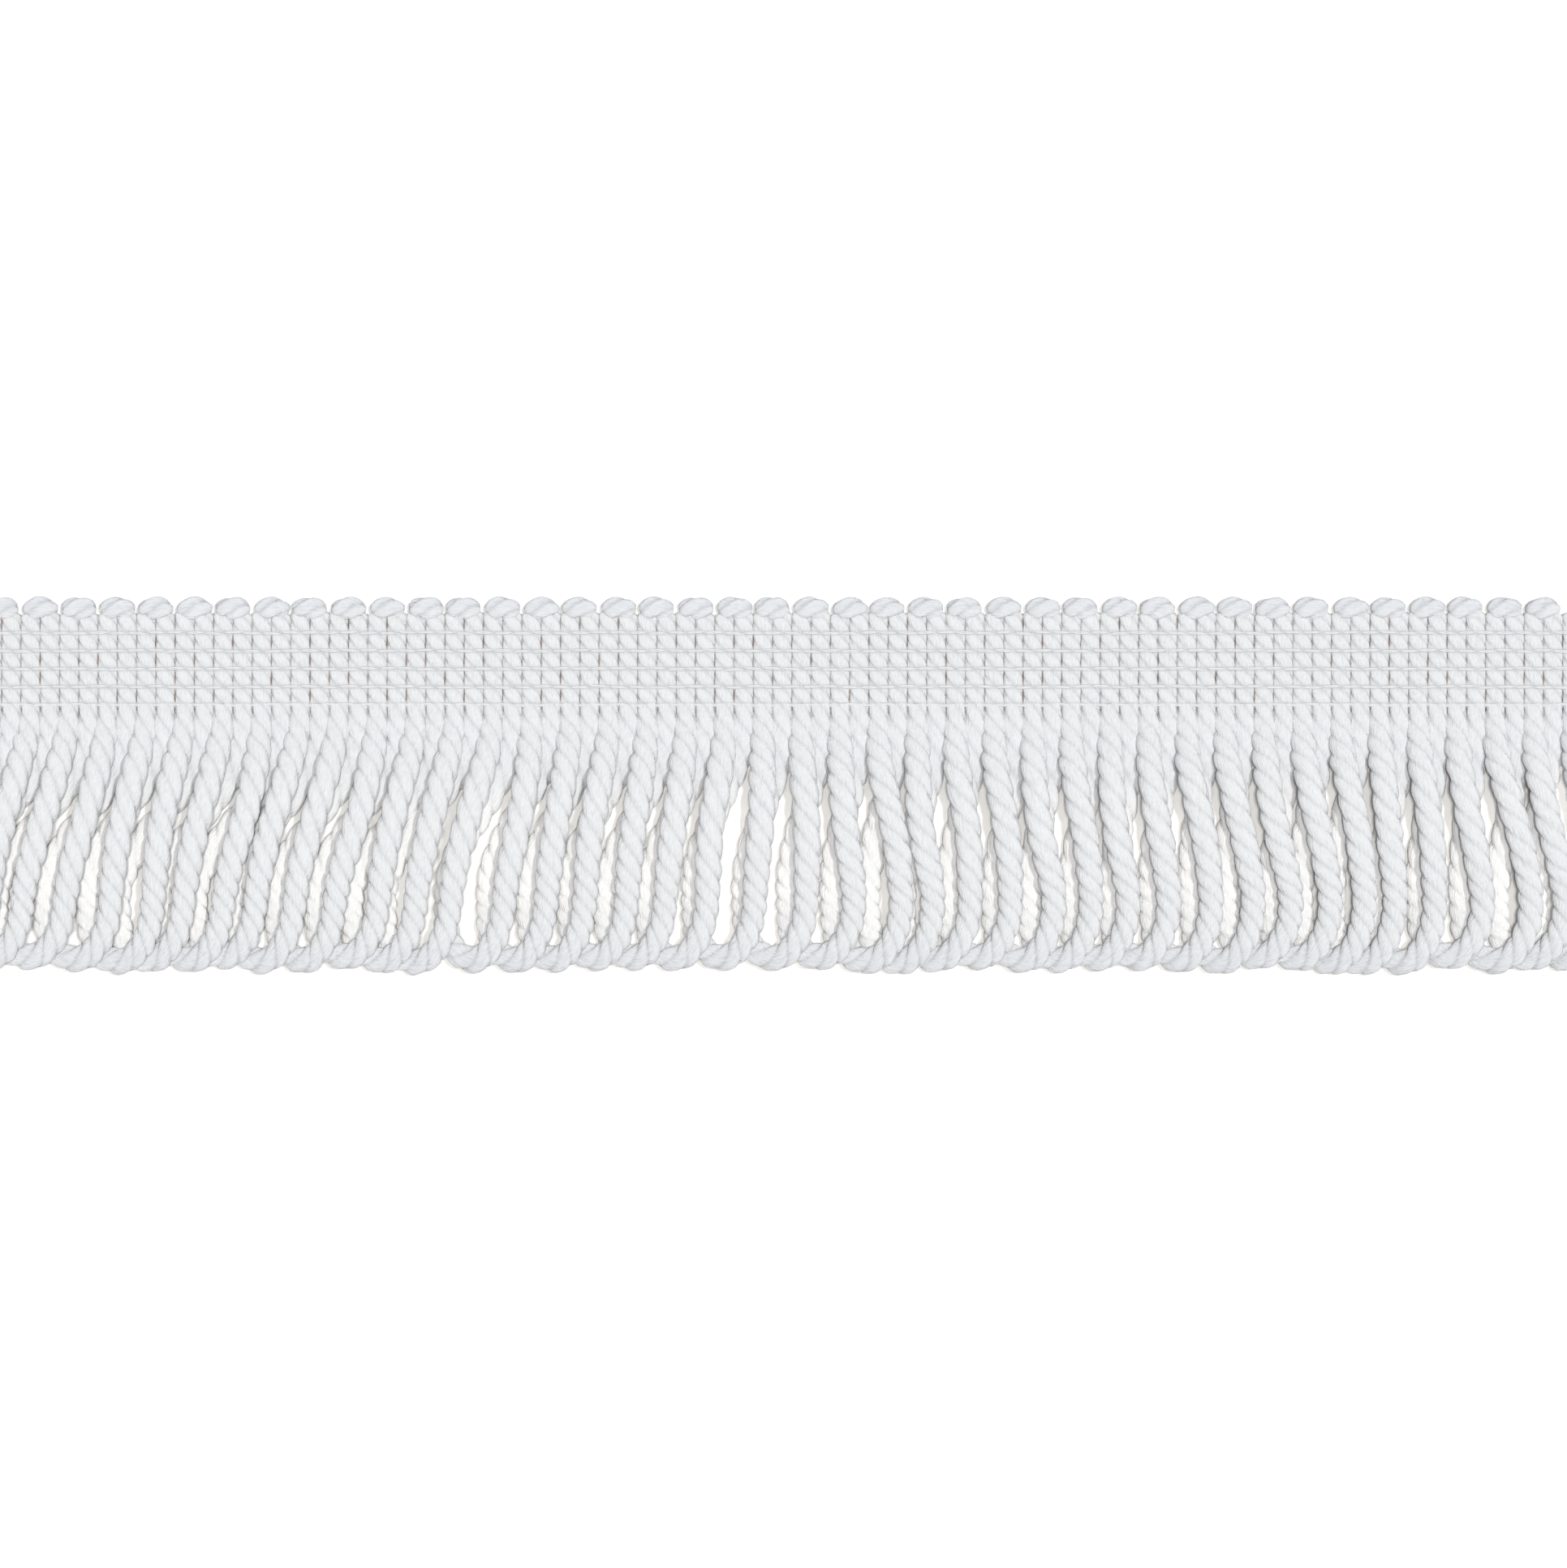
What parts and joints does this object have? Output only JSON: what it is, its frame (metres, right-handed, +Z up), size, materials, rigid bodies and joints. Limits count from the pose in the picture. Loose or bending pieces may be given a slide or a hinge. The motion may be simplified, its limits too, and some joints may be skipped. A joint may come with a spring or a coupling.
{
  "type": "looped cord fringe trim",
  "caption": "Cut length of looped fringe trim lying flat: a ribbed heading of twisted cord bound by fine thread rows, a scalloped upper edge and long overlapping cord loops below.",
  "frame": {"origin": "on the table under the middle of the whole trim, fringe included", "axes": "+X along the trim, +Y from the loops towards the heading's scalloped edge, +Z up off the table, out of the trim's face"},
  "size_m": [0.1634, 0.0352, 0.0054],
  "materials": {
    "cord": "white twisted cord with a silky sheen",
    "thread": "fine white binding thread, a little shinier than the cord"
  },
  "bodies": {
    "root": {"heading": "cord", "fringe": "cord"}
  },
  "joints": []
}
